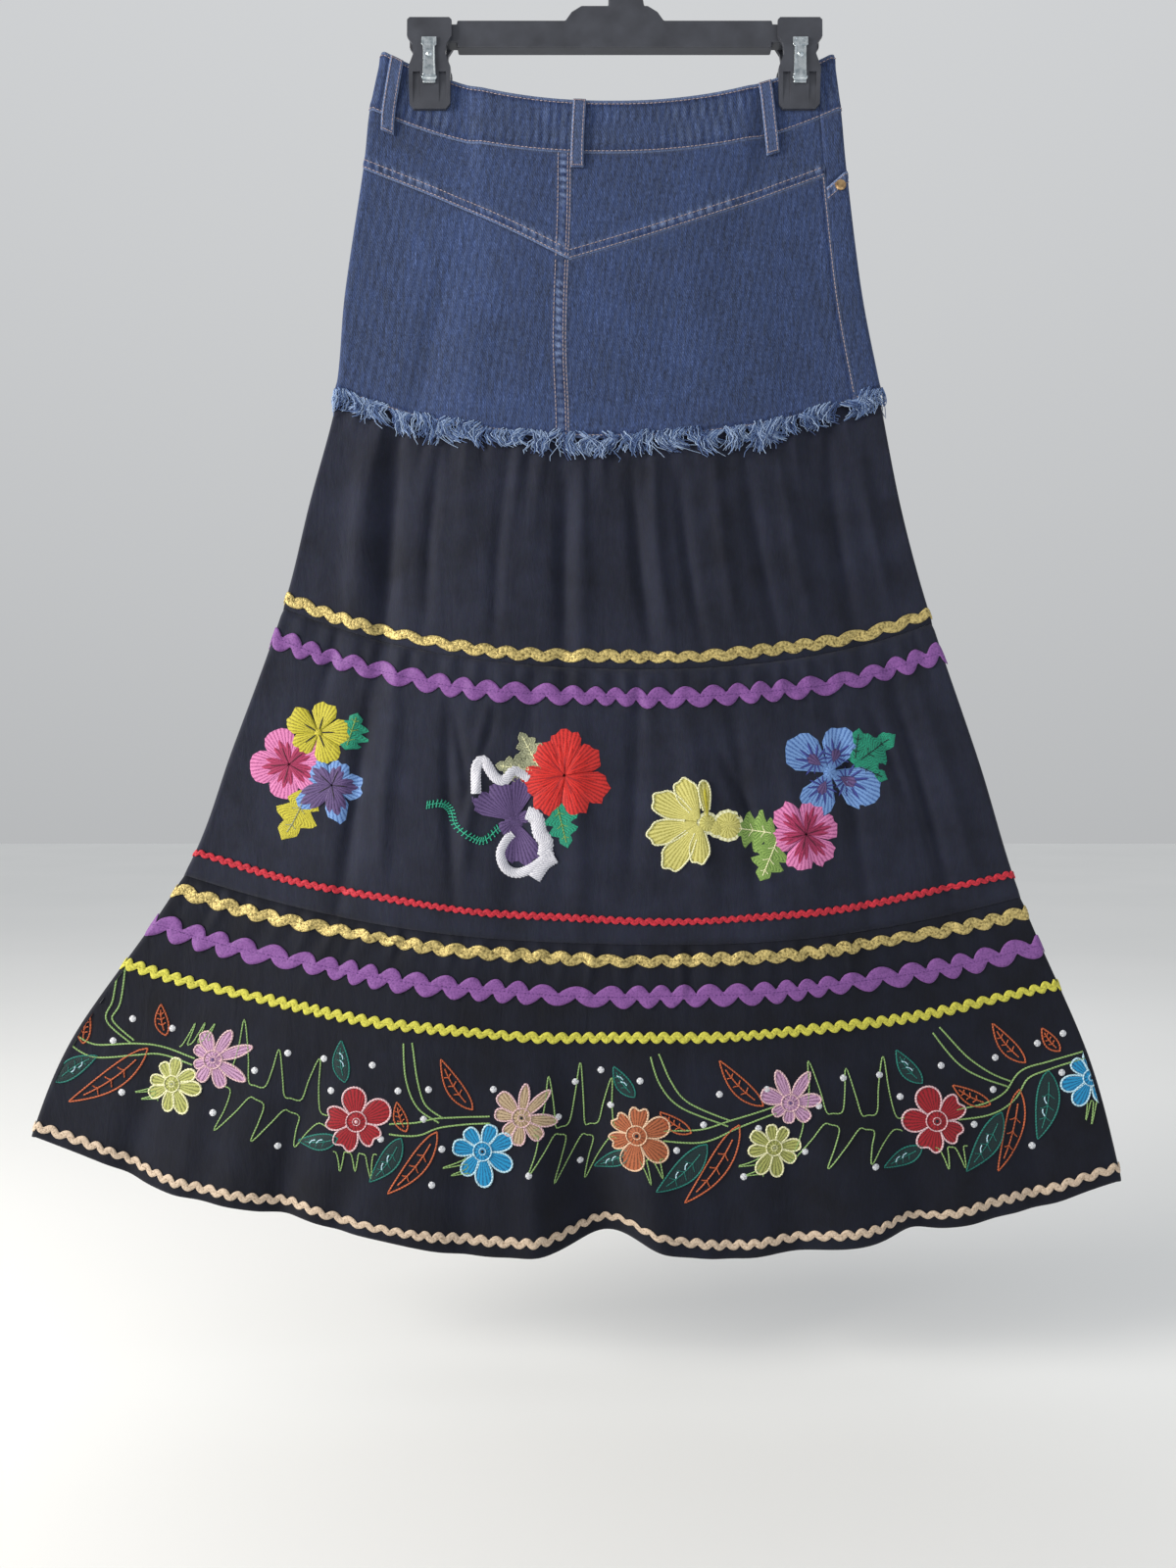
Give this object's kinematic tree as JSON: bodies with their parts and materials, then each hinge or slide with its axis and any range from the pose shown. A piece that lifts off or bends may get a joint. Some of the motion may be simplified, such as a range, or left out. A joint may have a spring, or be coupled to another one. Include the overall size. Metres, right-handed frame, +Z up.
{
  "type": "denim skirt on a clip hanger",
  "caption": "Long denim skirt with a frayed hip yoke, three gathered black cotton tiers, ric-rac braid, flower patches and an embroidered border, hung on a clip hanger",
  "frame": {"origin": "the inside top of the hanger's hook, where a rail or wall hook carries it", "axes": "+Z is up; the back of the skirt, with the pointed yoke and the flower patches, faces -Y and its front faces +Y; +X is to the right of someone who looks at the back"},
  "size_m": [0.8906, 0.0844, 1.0808],
  "materials": {
    "denim": "medium blue denim twill",
    "denim_facing": "medium blue denim twill, inside the pocket mouths",
    "denim_fray": "pale and mid blue loose denim yarn",
    "black_cotton": "black plain weave cotton",
    "gold_braid": "metallic gold ric-rac braid",
    "purple_braid": "wide purple ric-rac braid",
    "red_braid": "narrow red ric-rac braid",
    "yellow_braid": "yellow ric-rac braid",
    "beige_braid": "beige ric-rac braid",
    "flower_patch": "thick embroidered flower patches in several colours",
    "brass": "antique brass rivets and button",
    "hanger_plastic": "black plastic",
    "clip_spring_steel": "bright steel leaf springs"
  },
  "bodies": {
    "root": {"beige_braid_back": "beige_braid", "beige_braid_front": "beige_braid", "belt_loop_back_centre": "denim", "belt_loop_back_left": "denim", "belt_loop_back_right": "denim", "belt_loop_front_left": "denim", "belt_loop_front_right": "denim", "clip_left_far_jaw": "hanger_plastic", "clip_left_near_jaw": "hanger_plastic", "clip_left_spring": "clip_spring_steel", "clip_right_far_jaw": "hanger_plastic", "clip_right_near_jaw": "hanger_plastic", "clip_right_spring": "clip_spring_steel", "denim_back_left": "denim", "denim_back_right": "denim", "denim_front_left": "denim", "denim_front_right": "denim", "fly": "denim", "fray_back": "denim_fray", "fray_front": "denim_fray", "gold_braid_lower_back": "gold_braid", "gold_braid_lower_front": "gold_braid", "gold_braid_upper_back": "gold_braid", "gold_braid_upper_front": "gold_braid", "hanger_bar": "hanger_plastic", "hanger_hook": "hanger_plastic", "lower_tier_back": "black_cotton", "lower_tier_front": "black_cotton", "middle_tier_back": "black_cotton", "middle_tier_front": "black_cotton", "patch_left": "flower_patch", "patch_middle": "flower_patch", "patch_right": "flower_patch", "pocket_facing_left": "denim_facing", "pocket_facing_right": "denim_facing", "pocket_rivet_left_side": "brass", "pocket_rivet_left_waist": "brass", "pocket_rivet_right_side": "brass", "pocket_rivet_right_waist": "brass", "purple_braid_lower_back": "purple_braid", "purple_braid_lower_front": "purple_braid", "purple_braid_upper_back": "purple_braid", "purple_braid_upper_front": "purple_braid", "red_braid_back": "red_braid", "red_braid_front": "red_braid", "upper_tier_back": "black_cotton", "upper_tier_front": "black_cotton", "waist_button": "brass", "waistband_back": "denim", "waistband_front_left": "denim", "waistband_front_right": "denim", "yellow_braid_back": "yellow_braid", "yellow_braid_front": "yellow_braid", "yoke_back_left": "denim", "yoke_back_right": "denim"}
  },
  "joints": []
}
